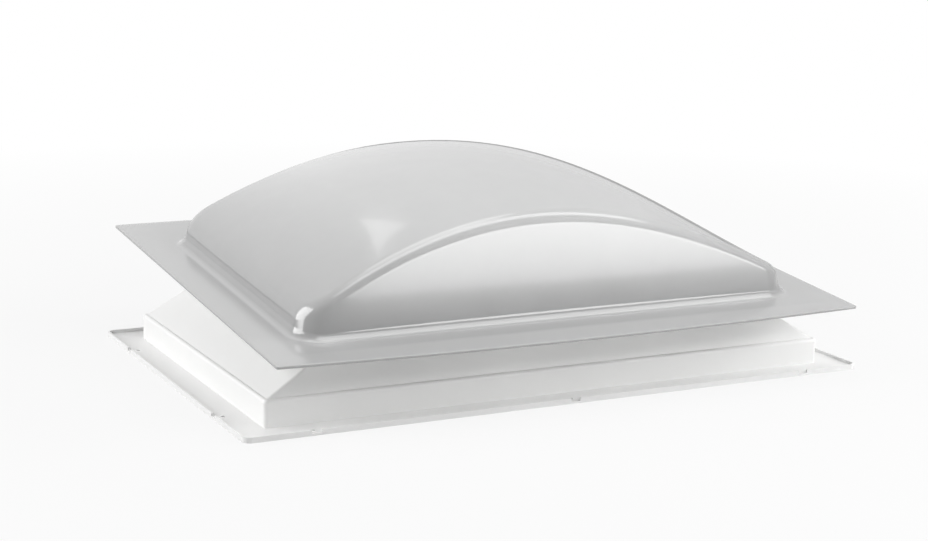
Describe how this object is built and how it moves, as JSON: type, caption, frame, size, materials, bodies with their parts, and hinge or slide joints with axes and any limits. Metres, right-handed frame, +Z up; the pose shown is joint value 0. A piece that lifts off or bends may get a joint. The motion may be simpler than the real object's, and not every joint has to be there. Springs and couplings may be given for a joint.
{
  "type": "caravan rooflight",
  "caption": "Caravan rooflight: translucent vaulted dome on a flat flange, hinged over a white moulded roof kerb, with slotted stays, swivel catches and a clip-in flyscreen.",
  "frame": {"origin": "middle of the roof flange's underside, in the plane of the roof", "axes": "+X along the long side, +Y from the hinge side to the catch side, +Z up, away from the roof"},
  "size_m": [0.8, 0.5644, 0.2556],
  "materials": {
    "white_moulding": "smooth white moulded plastic",
    "opal_acrylic": "glossy translucent light grey acrylic sheet",
    "white_frame": "satin white plastic",
    "seal_rubber": "soft black rubber",
    "zinc_steel": "zinc plated steel",
    "rail_aluminium": "mill finish aluminium",
    "black_plastic": "fine textured black plastic",
    "natural_nylon": "natural nylon",
    "net_fabric": "dark woven screen net"
  },
  "bodies": {
    "kerb": {"roof_frame": "white_moulding", "kerb_seal": "seal_rubber", "flyscreen_frame": "white_frame", "flyscreen_net": "net_fabric", "flyscreen_clips": "zinc_steel", "hinge_base_left": "zinc_steel", "hinge_base_right": "zinc_steel", "hinge_pin_left": "zinc_steel", "hinge_pin_right": "zinc_steel", "hinge_base_screws": "zinc_steel", "stay_bracket_left": "zinc_steel", "stay_bracket_right": "zinc_steel", "stay_pivot_left": "zinc_steel", "stay_pivot_right": "zinc_steel", "stay_bracket_screws": "zinc_steel", "keeper_left": "zinc_steel", "keeper_right": "zinc_steel", "keeper_screws": "zinc_steel"},
    "lid": {"lid_dome": "opal_acrylic", "lid_frame": "white_frame", "hinge_leaf_left": "zinc_steel", "hinge_leaf_right": "zinc_steel", "hinge_leaf_screws": "zinc_steel", "slide_rail_left": "rail_aluminium", "slide_rail_right": "rail_aluminium", "slide_rail_screws": "zinc_steel", "catch_base_left": "white_frame", "catch_base_right": "white_frame", "catch_base_screws": "zinc_steel", "catch_pin_left": "zinc_steel", "catch_pin_right": "zinc_steel"},
    "stay_left": {"stay_arm_left": "zinc_steel", "stay_stud_left": "zinc_steel", "stay_spacer_left": "natural_nylon"},
    "stay_right": {"stay_arm_right": "zinc_steel", "stay_stud_right": "zinc_steel", "stay_spacer_right": "natural_nylon"},
    "knob_left": {"stay_knob_left": "black_plastic"},
    "knob_right": {"stay_knob_right": "black_plastic"},
    "catch_left": {"catch_lever_left": "black_plastic"},
    "catch_right": {"catch_lever_right": "black_plastic"}
  },
  "joints": [
    {"name": "lid_hinge", "type": "hinge", "parent": "kerb", "child": "lid", "pos_m": [0, -0.221, 0.0785], "axis": [1, 0, 0], "range_deg": [-4.68, 45]},
    {"name": "stay_left_pivot", "type": "hinge", "parent": "kerb", "child": "stay_left", "pos_m": [-0.2915, -0.07218, 0.0597], "axis": [1, 0, 0], "range_deg": [-9.36, 90]},
    {"name": "stay_right_pivot", "type": "hinge", "parent": "kerb", "child": "stay_right", "pos_m": [0.2915, -0.07218, 0.0597], "axis": [1, 0, 0], "range_deg": [-9.36, 90]},
    {"name": "knob_left_turn", "type": "hinge", "parent": "stay_left", "child": "knob_left", "pos_m": [-0.2785, 0.07326, 0.09639], "axis": [1, 0, 0], "range_deg": [0, 180]},
    {"name": "knob_right_turn", "type": "hinge", "parent": "stay_right", "child": "knob_right", "pos_m": [0.2785, 0.07326, 0.09639], "axis": [-1, 0, 0], "range_deg": [0, 180]},
    {"name": "catch_left_turn", "type": "hinge", "parent": "lid", "child": "catch_left", "pos_m": [-0.15, 0.17541, 0.10313], "axis": [0, 0.0816, -0.9967], "range_deg": [0, 90]},
    {"name": "catch_right_turn", "type": "hinge", "parent": "lid", "child": "catch_right", "pos_m": [0.15, 0.17541, 0.10313], "axis": [0, -0.0816, 0.9967], "range_deg": [0, 90]}
  ],
  "couplings": [
    {"joint": "stay_left_pivot", "follows": "lid_hinge", "ratio": 2},
    {"joint": "stay_right_pivot", "follows": "lid_hinge", "ratio": 2}
  ]
}
